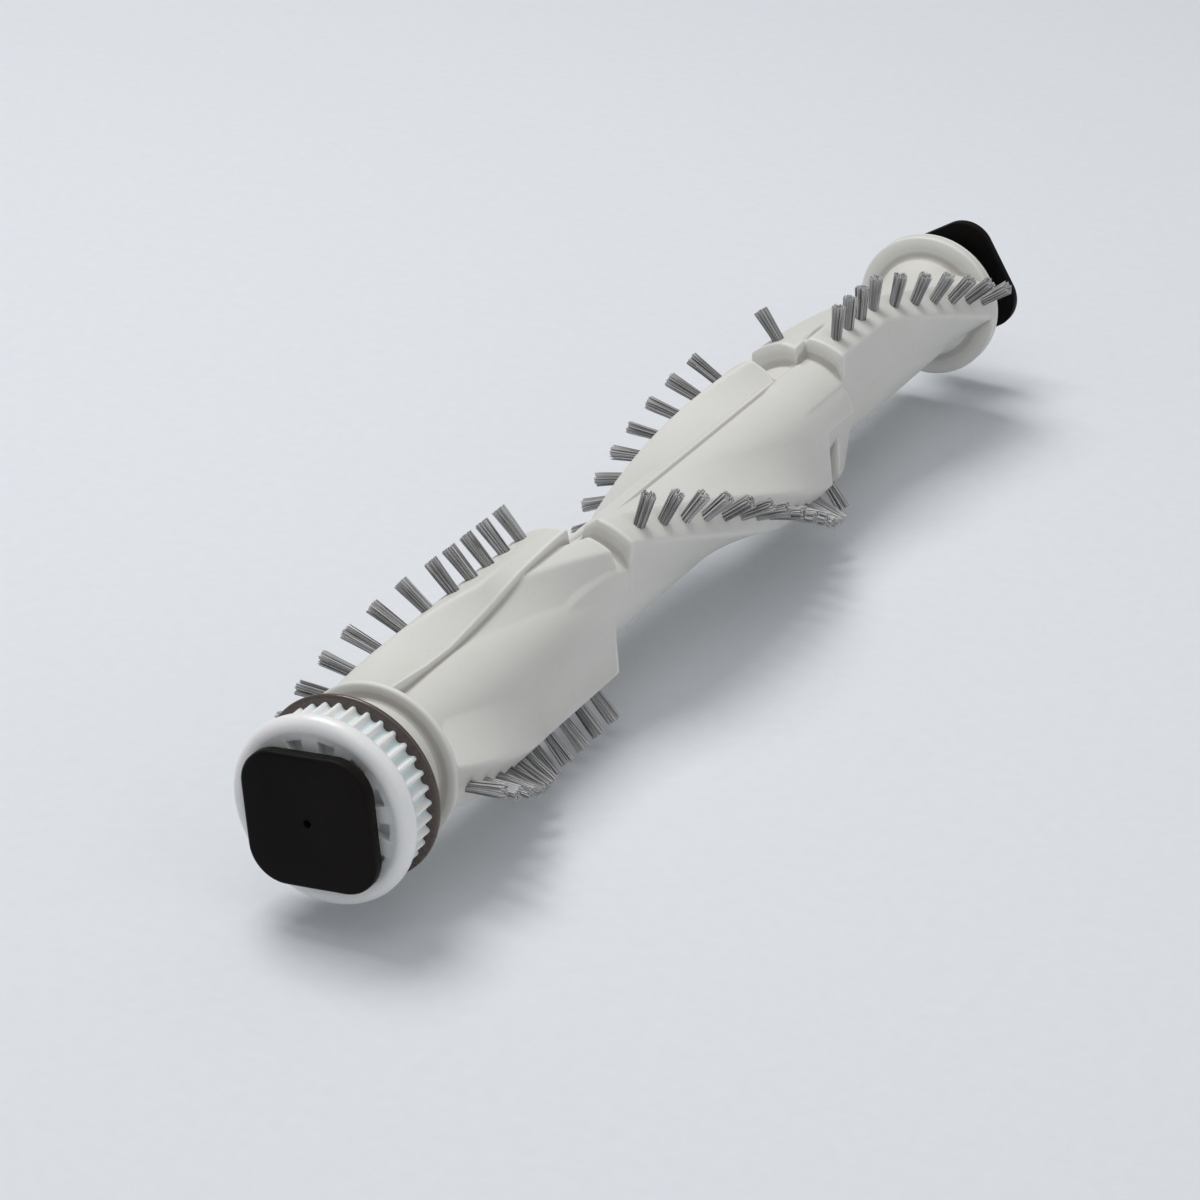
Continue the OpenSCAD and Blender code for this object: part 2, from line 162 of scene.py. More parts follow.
class Shader:
    """A node material that is written as expressions."""

    def __init__(self, name: str) -> None:
        """Starts an empty material of that name."""
        self.material = bpy.data.materials.new(name)
        self.material.use_nodes = True
        self.tree = self.material.node_tree
        self.tree.nodes.clear()

    def add(self, kind: str, settings: dict, inputs: dict) -> bpy.types.Node:
        """Adds a node.

        Args:
            kind: the node's type.
            settings: the node's own settings; "stops" holds a ramp's positions and colours.
            inputs: values, colours or sockets by input name or index.

        Returns:
            The node.
        """
        made = self.tree.nodes.new(kind)
        for key, value in settings.items():
            if key == "stops":
                self._set_stops(made.color_ramp, value)
            else:
                setattr(made, key, value)
        for key, value in inputs.items():
            if isinstance(value, Socket):
                self.tree.links.new(value.output, made.inputs[key])
            elif isinstance(value, tuple):
                made.inputs[key].default_value = (*value, 1.0)
            else:
                made.inputs[key].default_value = value
        return made

    def _set_stops(self, ramp: bpy.types.ColorRamp, stops: Sequence) -> None:
        """Gives a ramp its positions and colours."""
        while len(ramp.elements) < len(stops):
            ramp.elements.new(0.5)
        for element, (position, colour) in zip(ramp.elements, stops):
            element.position = position
            element.color = (*colour, 1.0)

    def node(self, kind: str, settings: dict, inputs: dict, output: int | str = 0) -> Socket:
        """Adds a node and gives one of its outputs."""
        return Socket(self, self.add(kind, settings, inputs).outputs[output])

    def noise(self, scale: float, detail: float = 3.0, stretch: Vector | None = None) -> Socket:
        """Noise on Object coordinates.

        Args:
            scale: waves per metre.
            detail: octaves.
            stretch: factors on the three coordinates.

        Returns:
            The noise value.
        """
        place = self.node("ShaderNodeTexCoord", {}, {}, "Object")
        if stretch is not None:
            place = self.node("ShaderNodeMapping", {}, {"Vector": place, "Scale": stretch})
        return self.node("ShaderNodeTexNoise", {}, {"Vector": place, "Scale": scale, "Detail": detail})

    def ramp(self, value: Socket, stops: Sequence[tuple[float, tuple[float, float, float]]]) -> Socket:
        """Colour ramp on a value."""
        return self.node("ShaderNodeValToRGB", {"stops": stops}, {"Fac": value})

    def between(self, value: Socket, low: float, high: float, to_low: float, to_high: float) -> Socket:
        """Maps a value from one range to another and clamps it."""
        return self.node(
            "ShaderNodeMapRange",
            {"clamp": True},
            {"Value": value, "From Min": low, "From Max": high, "To Min": to_low, "To Max": to_high},
        )

    def mixed(self, factor: Socket | float, first: object, second: object) -> Socket:
        """Mixes two colours."""
        return self.node("ShaderNodeMix", {"data_type": "RGBA"}, {0: factor, 6: first, 7: second}, 2)

    def bump(self, height: Socket, distance: float, strength: float) -> Socket:
        """Bump from a height."""
        return self.node(
            "ShaderNodeBump", {}, {"Height": height, "Distance": distance, "Strength": strength}
        )

    def finish(self, constants: dict, links: dict) -> bpy.types.Material:
        """Ends the material with a Principled shader.

        Args:
            constants: numbers and colours set on the shader's own sockets.
            links: sockets that vary over the surface.

        Returns:
            The material.
        """
        surface = self.node("ShaderNodeBsdfPrincipled", {}, {**constants, **links})
        self.add("ShaderNodeOutputMaterial", {}, {"Surface": surface})
        return self.material


@dataclass(frozen=True)
class MouldedPlastic:
    """Moulded plastic with a soft gloss, faint flow marks, handling wear, painted edge highlights and
    painted groove shade.

    Args:
        name: name of the material.
        light: colour of clean plastic.
        dull: colour of worn or dusty plastic.
        roughness: lowest and highest roughness.
        grain: height of the fine surface grain, in metres.
        coat: weight of the clear gloss layer.
        milky: weight of light scattered under the surface.
        gloss: level of the plain reflection, 0.5 for common plastic.
        edge_highlight: colour of the painted highlight on raised edges, on a mesh that carries the
            attribute for edges.
        groove_shade: colour of the painted shade in grooves, on the same mesh.
    """

    name: str
    light: tuple[float, float, float]
    dull: tuple[float, float, float]
    roughness: tuple[float, float]
    grain: float = 0.00002
    coat: float = 0.0
    milky: float = 0.0
    gloss: float = 0.5
    edge_highlight: tuple[float, float, float] | None = None
    groove_shade: tuple[float, float, float] | None = None

    def material(self) -> bpy.types.Material:
        """Makes the material."""
        shader = Shader(self.name)
        broad = shader.noise(38.0, 4.0, Vector((1.0, 0.45, 1.0)))
        specks = shader.noise(900.0, 2.0)
        fine = shader.noise(5200.0, 2.0)
        worn = shader.between(broad, 0.42, 0.72, 0.0, 0.75)
        soil = worn + shader.between(specks, 0.66, 0.8, 0.0, 0.5)
        colour = shader.mixed(soil, self.light, self.dull)
        # Painted highlight on raised edges and painted shade in grooves, both from the edge attribute.
        if self.edge_highlight and self.groove_shade:
            edge = shader.node("ShaderNodeAttribute", {"attribute_name": EDGE}, {}, "Fac")
            colour = shader.mixed(shader.between(edge, 0.15, 0.8, 0.0, 0.55), colour, self.edge_highlight)
            # Painted shade in grooves, stronger in patches of the broad noise.
            groove = shader.between(edge, -0.8, -0.15, 0.6, 0.0) * shader.between(broad, 0.3, 0.6, 0.6, 1.0)
            colour = shader.mixed(groove, colour, self.groove_shade)
        low, high = self.roughness
        rough = shader.between(broad * 0.7 + specks * 0.3, 0.35, 0.65, low, high)
        constants = {
            "Coat Weight": self.coat,
            "Coat Roughness": 0.12,
            "Specular IOR Level": self.gloss,
            "IOR": 1.46,
            "Subsurface Weight": self.milky,
            "Subsurface Scale": 0.002,
        }
        height = fine * 0.6 + broad * 0.8
        return shader.finish(
            constants,
            {
                "Base Color": colour,
                "Roughness": rough,
                "Normal": shader.bump(height, self.grain, 0.5),
            },
        )


@dataclass(frozen=True)
class GroundSteel:
    """Steel with fine grinding lines round the axis.

    Args:
        name: name of the material.
        colour: base colour.
        roughness: lowest and highest roughness.
    """

    name: str
    colour: tuple[float, float, float]
    roughness: tuple[float, float]

    def material(self) -> bpy.types.Material:
        """Makes the material."""
        shader = Shader(self.name)
        lines = shader.noise(700.0, 3.0, Vector((0.4, 8.0, 0.4)))
        stain = shader.noise(160.0, 4.0)
        darker = tuple(channel * 0.72 for channel in self.colour)
        low, high = self.roughness
        return shader.finish(
            {"Metallic": 1.0},
            {
                "Base Color": shader.mixed(
                    shader.between(stain, 0.45, 0.75, 0.0, 1.0), self.colour, darker
                ),
                "Roughness": shader.between(lines, 0.3, 0.7, low, high),
                "Normal": shader.bump(lines, 0.00001, 0.3),
            },
        )


@dataclass(frozen=True)
class NylonFilament:
    """Grey nylon filaments whose tone changes from one to the next, pales at the cut tips and is darkened
    towards the roots with painted shade.

    Args:
        name: name of the material.
        dark: colour of the darkest filaments, and of the painted shade at the roots.
        middle: colour of most filaments.
        pale: colour of the lightest filaments and of the tips.
    """

    name: str
    dark: tuple[float, float, float]
    middle: tuple[float, float, float]
    pale: tuple[float, float, float]

    def material(self) -> bpy.types.Material:
        """Makes the material."""
        shader = Shader(self.name)
        tone = shader.node("ShaderNodeAttribute", {"attribute_name": "tone"}, {}, "Fac")
        along = shader.node("ShaderNodeAttribute", {"attribute_name": "along"}, {}, "Fac")
        dust = shader.noise(420.0, 3.0)
        body = shader.ramp(tone, [(0.0, self.dark), (0.45, self.middle), (1.0, self.pale)])
        tips = shader.between(along, 0.7, 1.0, 0.0, 0.35)
        # Painted shade over the first quarter of each filament, towards its hole.
        root_shade = shader.between(along, 0.0, 0.25, 0.5, 0.0)
        colour = shader.mixed(root_shade, shader.mixed(tips, body, self.pale), self.dark)
        return shader.finish(
            {"IOR": 1.53, "Sheen Weight": 0.15},
            {
                "Base Color": colour,
                "Roughness": shader.between(dust, 0.3, 0.7, 0.3, 0.5),
                "Normal": shader.bump(dust, 0.00002, 0.3),
            },
        )


@dataclass
class TurnedBlank:
    """A tube of quads, made by operators, whose rings and columns are then put in place.

    Args:
        columns: number of columns round the tube.
        rings: number of rings along it.
        ends: how its two ends are closed.
    """

    columns: int
    rings: int
    ends: Ends = Ends.BRIDGED

    def mesh(self, name: str, shape: Callable, edges: np.ndarray | None = None) -> bpy.types.Mesh:
        """Makes the tube and puts each point in its place.

        Args:
            name: name of the mesh.
            shape: gives the points for arrays of ring and column numbers.
            edges: how much each point stands out as an edge, by ring and column, from -1 to 1.

        Returns:
            The finished mesh.
        """
        shaped = bmesh.new()
        bmesh.ops.create_cone(
            shaped, cap_ends=False, segments=self.columns, radius1=1.0, radius2=1.0, depth=1.0
        )
        lengthwise = [e for e in shaped.edges if abs(e.verts[0].co.z - e.verts[1].co.z) > 0.5]
        bmesh.ops.subdivide_edges(shaped, edges=lengthwise, cuts=self.rings - 2)
        flat = np.array([v.co[:] for v in shaped.verts])
        ring = np.rint((flat[:, 2] + 0.5) * (self.rings - 1)).astype(int)
        step = 2 * math.pi / self.columns
        column = np.rint(np.arctan2(flat[:, 1], flat[:, 0]) / step).astype(int) % self.columns
        for vert, place in zip(shaped.verts, shape(ring, column)):
            vert.co = place
        self._close(shaped)
        for face in shaped.faces:
            face.smooth = True
        made = bpy.data.meshes.new(name)
        shaped.to_mesh(made)
        shaped.free()
        if edges is not None:
            layer = made.attributes.new(EDGE, "FLOAT", "POINT")
            layer.data.foreach_set("value", edges[ring, column])
        return made

    def _close(self, shaped: bmesh.types.BMesh) -> None:
        """Closes the two open rings."""
        open_edges = [e for e in shaped.edges if e.is_boundary]
        if self.ends is Ends.BRIDGED:
            bmesh.ops.bridge_loops(shaped, edges=open_edges)
        else:
            bmesh.ops.holes_fill(shaped, edges=open_edges, sides=0)


class Assembly:
    """Common ways in which the sub-assemblies add pieces."""

    def __init__(self, axis: SpinAxis) -> None:
        """Keeps the spin axis."""
        self.axis = axis

    def add(
        self,
        name: str,
        mesh: bpy.types.Mesh,
        material: bpy.types.Material,
        body: Body,
        slot: str,
        nodes: Sequence[str],
        crease: float,
    ) -> None:
        """Adds a piece that stands for some nodes.

        Args:
            name: name of the piece.
            mesh: its mesh, in the frame.
            material: its material.
            body: the body that it rides on.
            slot: name of a material slot, not used.
            nodes: the nodes that it stands for.
            crease: angle in degrees above which an edge stays crisp.
        """
        mesh.materials.append(material)
        mesh.set_sharp_from_angle(angle=math.radians(crease))
        piece = bpy.data.objects.new(name, mesh)
        bpy.context.scene.collection.objects.link(piece)
        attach(piece, body.value)
        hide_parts(*nodes)
        log.info("%s: %d faces", name, len(mesh.polygons))


@dataclass(frozen=True)
class RollForm:
    """Radius of the moulded roller at each place and angle, in millimetres and degrees."""

    # Neck, flanges and hub
    neck_front: float = -10.2
    neck_radius: float = 13.3
    flange_front: float = -1.8
    drive_flange_radius: float = 16.05
    idle_flange_front: float = 245.4
    idle_flange_radius: float = 16.25
    roller_length: float = 248.8
    hub_end: float = 250.2
    hub_radius: float = 7.0

    # Core, with fillets against the flanges given as a radius and its fall per millimetre
    core_radius: float = 10.2
    drive_fillet: tuple[float, float] = (11.8, 0.19)
    idle_fillet: tuple[float, float] = (11.7, 0.3)
    flank_circle: float = 9.95

    # Tufts, their helix and where it starts and stops turning
    tuft_pitch: float = 6.37
    drive_first: float = 3.1
    middle_first: float = 84.4
    single_tuft: float = 178.6
    idle_first: float = 184.1
    twist: float = 1.34
    drive_twist_end: float = 42.6
    drive_straight: float = 61.9
    middle_angle: float = 122.2
    idle_twist_start: float = 202.8
    idle_straight: float = 107.7

    # Ridges that carry the tufts
    ridge_radius: float = 16.3
    ridge_half: float = 15.0
    ridge_drop: float = 0.2
    ridge_rise: float = 0.15
    drive_ridge_end: float = 72.0
    middle_ridge: tuple[float, float] = (78.0, 166.7)
    idle_ridge_start: float = 179.3
    corner_turn: float = 14.0
    corner_depth: float = 4.0

    # Bare lobe, and the broad side of the middle ridge
    bare_lobe: tuple[float, float] = (24.0, 75.0)
    lobe_radius: float = 14.2
    lobe_half: float = 11.0
    lobe_sway: tuple[float, float] = (52.0, 0.15)
    broad_circle: float = 11.8
    broad_dip: float = 0.5
    broad_dip_turn: float = 6.0

    # Low floors in front of the middle and idle ridges
    middle_floor: tuple[float, float] = (56.0, 79.0)
    idle_floor: tuple[float, float] = (146.0, 180.5)
    floor_radius: float = 12.0
    floor_slope: float = 0.12
    floor_lift: float = 0.1
    floor_inset: float = 1.0

    # Lips along the mould joint
    joint: float = 90.0
    lip_radius: float = 12.3
    lip_start: float = 70.0
    lip_gap: float = 0.6
    drive_lip_places: Sequence[float] = (0, 17, 26, 42, 53, 66)
    drive_lip_radii: Sequence[float] = (13.4, 11.6, 11.3, 13.1, 15.2, 16.1)

    # Ridge and floor of a single tuft, which end sooner on one half
    single_ridge: tuple[float, float] = (175.0, 206.0)
    short_ridge_end: float = 183.0
    single_ridge_radius: float = 16.2
    single_lip_places: Sequence[float] = (175, 194)
    single_lip_radii: Sequence[float] = (15.3, 16.1)
    single_lip_end: float = 188.0
    single_lip_turn: float = 1.6
    single_floor: tuple[float, float] = (165.0, 175.5)
    single_floor_radius: float = 11.4
    single_floor_turn: float = 8.0
    single_floor_half: float = 22.0

    def lobe_angle(self, place: np.ndarray | float) -> np.ndarray | float:
        """Angle of the middle lobes."""
        return self.middle_angle + self.twist * (place - self.middle_first)

    def drive_angle(self, place: np.ndarray | float) -> np.ndarray | float:
        """Angle of the drive end ridges."""
        return self.drive_straight - self.twist * np.maximum(0, self.drive_twist_end - place)

    def idle_angle(self, place: np.ndarray | float) -> np.ndarray | float:
        """Angle of the idle end ridges."""
        return self.idle_straight + self.twist * np.maximum(0, place - self.idle_twist_start)

    def _lobe(
        self,
        angle: np.ndarray,
        middle: np.ndarray | float,
        radius: np.ndarray | float,
        half: np.ndarray | float,
    ) -> np.ndarray:
        """Lobe with a round top and two flanks that touch the core."""
        off = np.abs((angle - middle + 180) % 360 - 180)
        foot = half + np.degrees(np.arccos(np.clip(self.flank_circle / radius, -1, 1)))
        slope = self.flank_circle / np.cos(np.radians(np.clip(foot - off, 0, 85)))
        return np.where(off <= half, radius, np.where(off < foot, slope, 0.0))

    def _to_lip(
        self,
        angle: np.ndarray,
        middle: np.ndarray,
        radius: np.ndarray | float,
        lip: np.ndarray,
        end: np.ndarray | float,
    ) -> np.ndarray:
        """Ridge whose side towards the mould joint slopes straight to a lip."""
        turned = (angle - end + 180) % 360 - 180 + end
        corner = np.minimum(middle + self.ridge_half, end - self.lip_gap)
        span = np.radians(end - corner)
        rise = np.radians(np.clip(turned - corner, 0, None))
        left = np.radians(np.clip(end - turned, 0, None))
        slope = radius * lip * np.sin(span) / (radius * np.sin(rise) + lip * np.sin(left) + 1e-9)
        near = self._lobe(angle, middle, radius, self.ridge_half)
        shaped = np.where(turned > corner, slope, near)
        return np.where(turned <= end, shaped, 0.0)

    def _within(self, place: np.ndarray, ends: tuple[float, float]) -> np.ndarray:
        """Whether each place lies between two ends."""
        return (place >= ends[0]) & (place <= ends[1])

    def radius(self, place: np.ndarray, angle: np.ndarray) -> np.ndarray:
        """Radius of the moulding.

        Args:
            place: places along the roll.
            angle: angles about the axis, of the same shape.

        Returns:
            The radii.
        """
        foot, slope = self.drive_fillet
        made = np.maximum(self.core_radius, foot - slope * np.maximum(place, 0))
        foot, slope = self.idle_fillet
        made = np.maximum(made, foot - slope * np.maximum(self.idle_flange_front - place, 0))
        for half_turn in (0.0, 180.0):
            there = angle - half_turn
            parts = [
                ((0.0, self.drive_ridge_end), self._drive_ridge(place, there)),
                (self.middle_ridge, self._middle_ridge(place, there)),
                ((self.middle_ridge[0], self.idle_ridge_start), self._broad_side(place, there)),
                ((self.idle_ridge_start, self.idle_flange_front), self._idle_ridge(place, there)),
                (self.bare_lobe, self._bare_lobe(place, there)),
                (self.middle_floor, self._floor(place, there, self.lobe_angle, self.middle_floor[0])),
                (self.idle_floor, self._floor(place, there, self.idle_angle, self.idle_floor[0])),
                ((self.lip_start, self.middle_ridge[1]), self._joint_lip(place, there)),
                (self.single_floor, self._single_floor(place, there)),
            ]
            last = self.single_ridge[1] if half_turn == 0 else self.short_ridge_end
            parts.append(((self.single_ridge[0], last), self._single_ridge(place, there)))
            for ends, radii in parts:
                made = np.where(self._within(place, ends), np.maximum(made, radii), made)
        bands = [
            ((self.flange_front, 0.0), self.drive_flange_radius),
            ((self.idle_flange_front, self.roller_length), self.idle_flange_radius),
        ]
        for ends, value in bands:
            made = np.where(self._within(place, ends), value, made)
        made = np.where(place < self.flange_front, self.neck_radius, made)
        return np.where(place > self.roller_length, self.hub_radius, made)

    def _drive_ridge(self, place: np.ndarray, angle: np.ndarray) -> np.ndarray:
        """Drive end ridge, with its lip at the mould joint."""
        lip = np.interp(place, self.drive_lip_places, self.drive_lip_radii)
        radius = self._ridge_top(self.drive_flange_radius, place)
        return self._to_lip(angle, self.drive_angle(place), radius, lip, self.joint)

    def _ridge_top(self, flange: float, distance: np.ndarray) -> np.ndarray:
        """Radius of a ridge's top, just under a flange and rising away from it."""
        near = flange - self.ridge_drop + self.ridge_rise * np.maximum(distance, 0)
        return np.minimum(self.ridge_radius, near)

    def _middle_ridge(self, place: np.ndarray, angle: np.ndarray) -> np.ndarray:
        """Middle ridge, with a rounded corner at its far end."""
        made = self._lobe(angle, self.lobe_angle(place), self.ridge_radius, self.ridge_half)
        return np.where(self._before_corner(place, angle), made, 0.0)

    def _before_corner(self, place: np.ndarray, angle: np.ndarray) -> np.ndarray:
        """Whether each place lies before the rounded corner of a middle ridge at the mould joint."""
        past = (angle - self.joint + 90) % 180 - 90
        turned = np.clip(past / self.corner_turn + 1, 0, 1)
        return place <= self.middle_ridge[1] - self.corner_depth * (1 - np.sqrt(1 - turned**2))

    def _broad_side(self, place: np.ndarray, angle: np.ndarray) -> np.ndarray:
        """Broad side of a middle ridge, from the mould joint to its top, which runs out past its end."""
        end = self.middle_ridge[1]
        turned = angle % 360
        dip = self.broad_dip * np.exp(-np.maximum(turned - self.joint, 0) / self.broad_dip_turn)
        circle = self.broad_circle - dip
        edge = self.lobe_angle(np.minimum(place, end)) - self.ridge_half
        foot = edge - np.degrees(np.arccos(circle / self.ridge_radius))
        climb = np.where(place <= end, np.clip(turned - foot, 0, 80), 0.0)
        top = np.where(place <= end, edge, foot)
        return np.where((turned >= self.joint) & (turned <= top), circle / np.cos(np.radians(climb)), 0.0)

    def _idle_ridge(self, place: np.ndarray, angle: np.ndarray) -> np.ndarray:
        """Idle end ridge."""
        radius = self._ridge_top(self.idle_flange_radius, self.idle_flange_front - place)
        return self._lobe(angle, self.idle_angle(place), radius, self.ridge_half)

    def _bare_lobe(self, place: np.ndarray, angle: np.ndarray) -> np.ndarray:
        """Bare lobe between the drive end ridge and the middle ridge."""
        start, sway = self.lobe_sway
        middle = self.lobe_angle(place) + sway * np.maximum(0, place - start)
        return self._lobe(angle, middle, self.lobe_radius, self.lobe_half)

    def _floor(
        self, place: np.ndarray, angle: np.ndarray, helix: Callable, start: float
    ) -> np.ndarray:
        """Low floor in front of a ridge, with its flank flush with the ridge's flank."""
        middle = helix(place)
        slope = self.floor_slope * np.maximum(place - start, 0)
        rise = self.flank_circle + self.floor_lift + slope
        radius = np.minimum(self.floor_radius, rise)
        foot = math.degrees(math.acos(self.flank_circle / self.ridge_radius))
        left = middle - self.ridge_half
        right = middle + self.ridge_half + foot - self.floor_inset
        right = right - np.degrees(np.arccos(self.flank_circle / radius))
        return self._lobe(angle, (left + right) / 2, radius, (right - left) / 2)

    def _single_floor(self, place: np.ndarray, angle: np.ndarray) -> np.ndarray:
        """Floor between the middle ridge and the ridge of a single tuft."""
        middle = self.lobe_angle(place) - 180 + self.single_floor_turn
        return self._lobe(angle, middle, self.single_floor_radius, self.single_floor_half)

    def _joint_lip(self, place: np.ndarray, angle: np.ndarray) -> np.ndarray:
        """Straight lip along the mould joint."""
        turned = (angle - self.joint + 180) % 360 - 180
        start = -math.degrees(math.acos(self.flank_circle / self.lip_radius))
        slope = self.flank_circle / np.cos(np.radians(np.clip(turned - start, 0, 80)))
        lies = (turned >= start) & (turned <= 0) & self._before_corner(place, angle)
        return np.where(lies, slope, 0.0)

    def _single_ridge(self, place: np.ndarray, angle: np.ndarray) -> np.ndarray:
        """Ridge of a single tuft."""
        lip = np.interp(place, self.single_lip_places, self.single_lip_radii)
        end = self.joint + self.single_lip_turn * np.maximum(0, place - self.single_lip_end)
        return self._to_lip(angle, self.lobe_angle(place) - 180, self.single_ridge_radius, lip, end)

    def walls(self) -> list[float]:
        """Places where the form steps."""
        return [
            self.flange_front,
            0.0,
            self.drive_ridge_end,
            self.bare_lobe[1],
            self.middle_ridge[0],
            self.middle_ridge[1],
            self.single_ridge[0],
            self.idle_ridge_start,
            self.short_ridge_end,
            self.idle_flange_front,
            self.roller_length,
        ]


@dataclass
class MouldedRoller:
    """The grey moulding, with softened edges.

    Args:
        form: radius of the moulding.
        columns: columns round the roll.
        station_step: widest distance between rings, in millimetres.
        soft: rounding of the edges, in millimetres.
        soft_radius: radius at which the rounding is the same both ways, in millimetres.
        wide: reach of the form that an edge is set against, in millimetres.
        edge_height: height over that form at which an edge counts in full, in millimetres.
        sample_step: step of the sampled grid along the roll, in millimetres.
        sample_angle: step of the sampled grid round the roll, in degrees.
        wall_steps: places of extra rings about each wall, in millimetres.
        least_step: least distance between rings, in millimetres.
        corner_rings: extra rings over the rounded corner of the middle ridge.
        joint_columns: places of extra columns about the mould joint, in degrees.
        least_turn: least distance between an even column and an extra one, in degrees.
        blur_reach: reach of the softening, in its own widths.
        blur_least: least reach of the softening, in samples.
    """

    form: RollForm = field(default_factory=RollForm)
    columns: int = 216
    station_step: float = 1.0
    soft: float = 0.17
    soft_radius: float = 15.0
    wide: float = 0.55
    edge_height: float = 0.3
    sample_step: float = 0.125
    sample_angle: float = 0.25
    wall_steps: Sequence[float] = (-0.7, -0.45, -0.2, 0.0, 0.2, 0.45, 0.7)
    least_step: float = 0.12
    corner_rings: int = 14
    joint_columns: Sequence[float] = (-1.2, -0.7, -0.3, 0.0, 0.3, 0.7, 1.2)
    least_turn: float = 0.4
    blur_reach: float = 2.5
    blur_least: int = 4

    def stations(self) -> np.ndarray:
        """Places of the rings, closer together at the walls."""
        start, end = self.form.neck_front, self.form.hub_end
        count = int((end - start) / self.station_step)
        places = list(np.linspace(start, end, count))
        for wall in self.form.walls():
            places += [wall + shift for shift in self.wall_steps]
        corner = self.form.middle_ridge[1]
        places += list(np.linspace(corner - self.form.corner_depth, corner, self.corner_rings))
        kept = [start]
        for place in sorted(p for p in places if start < p <= end):
            if place - kept[-1] > self.least_step:
                kept.append(place)
        return np.array(kept)

    def column_angles(self) -> np.ndarray:
        """Angles of the columns, closer together at the mould joint."""
        even = np.arange(self.columns) * 360 / self.columns
        joints = (self.form.joint, self.form.joint + 180)
        near = [joint + shift for joint in joints for shift in self.joint_columns]
        kept = [a for a in even if min(abs(a - n) for n in near) > self.least_turn]
        return np.array(sorted(kept + near))

    def softened(self) -> tuple[np.ndarray, np.ndarray]:
        """Radii on an even grid, softened along and round the roll.

        Returns:
            The grid's places and its radii, one row for each place.
        """
        places = np.arange(self.form.neck_front - 2, self.form.hub_end + 2, self.sample_step)
        angles = np.arange(0, 360, self.sample_angle)
        inside = np.clip(places, self.form.neck_front, self.form.hub_end)
        grid = self.form.radius(*np.broadcast_arrays(inside[:, None], angles[None, :]))
        return places, self._blurred(grid, self.soft)

    def _blurred(self, grid: np.ndarray, soft: float) -> np.ndarray:
        """The grid of radii, softened over a distance both ways."""
        arc = math.radians(self.sample_angle) * self.soft_radius
        for axis, step in ((1, arc), (0, self.sample_step)):
            last = max(self.blur_least, math.ceil(self.blur_reach * soft / step))
            reach = range(-last, last + 1)
            weights = [math.exp(-0.5 * (k * step / soft) ** 2) for k in reach]
            grid = sum(w * np.roll(grid, k, axis=axis) for w, k in zip(weights, reach)) / sum(weights)
        return grid

    def build(self, assembly: Assembly, material: bpy.types.Material) -> None:
        """Adds the moulding in place of its plain solid."""
        places, grid = self.softened()
        stations = self.stations()
        row = (stations - places[0]) / self.sample_step
        low = np.floor(row).astype(int)
        part = (row - low)[:, None]
        angles = self.column_angles()
        near = np.rint(angles / self.sample_angle).astype(int) % grid.shape[1]
        # How far each point stands above or below its softened surroundings; the grey plastic paints a
        # highlight on raised edges and shade in grooves from it.
        edge = np.clip((grid - self._blurred(grid, self.wide)) / self.edge_height, -1, 1)
        radii, edges = (
            (values[low] * (1 - part) + values[low + 1] * part)[:, near] for values in (grid, edge)
        )

        def shape(ring: np.ndarray, column: np.ndarray) -> np.ndarray:
            """Points of the moulding."""
            return assembly.axis.points(radii[ring, column], angles[column], stations[ring])

        blank = TurnedBlank(len(angles), len(stations), Ends.FILLED)
        assembly.add(
            "moulded_roller",
            blank.mesh("moulded_roller", shape, edges),
            material,
            Body.ROLLER,
            "grey_plastic",
            ["roller_body"],
            crease=60.0,
        )


class FilamentBundle:
    """Filaments gathered in one mesh, with a tone for each and a height for each point."""

    def __init__(self, prototype: bpy.types.Mesh) -> None:
        """Starts an empty bundle of copies of one filament."""
        self.prototype = prototype
        self.unit = np.array([v.co[:] for v in prototype.vertices])
        self.shaped = bmesh.new()
        self.tones: list[float] = []
        self.heights: list[float] = []

    def add(self, points: np.ndarray, tone: float) -> None:
        """Adds a filament.

        Args:
            points: places of the prototype's points, in metres.
            tone: lightness of the filament, from 0 to 1.
        """
        first = len(self.shaped.verts)
        self.shaped.from_mesh(self.prototype)
        self.shaped.verts.ensure_lookup_table()
        for index, point in enumerate(points):
            self.shaped.verts[first + index].co = point
        self.tones += [tone] * len(points)
        self.heights += list(self.unit[:, 2])

    def mesh(self, name: str) -> bpy.types.Mesh:
        """Ends the bundle as a smooth mesh with its two attributes."""
        made = bpy.data.meshes.new(name)
        self.shaped.to_mesh(made)
        self.shaped.free()
        for title, values in (("tone", self.tones), ("along", self.heights)):
            layer = made.attributes.new(title, "FLOAT", "POINT")
            layer.data.foreach_set("value", values)
        made.shade_smooth()
        return made


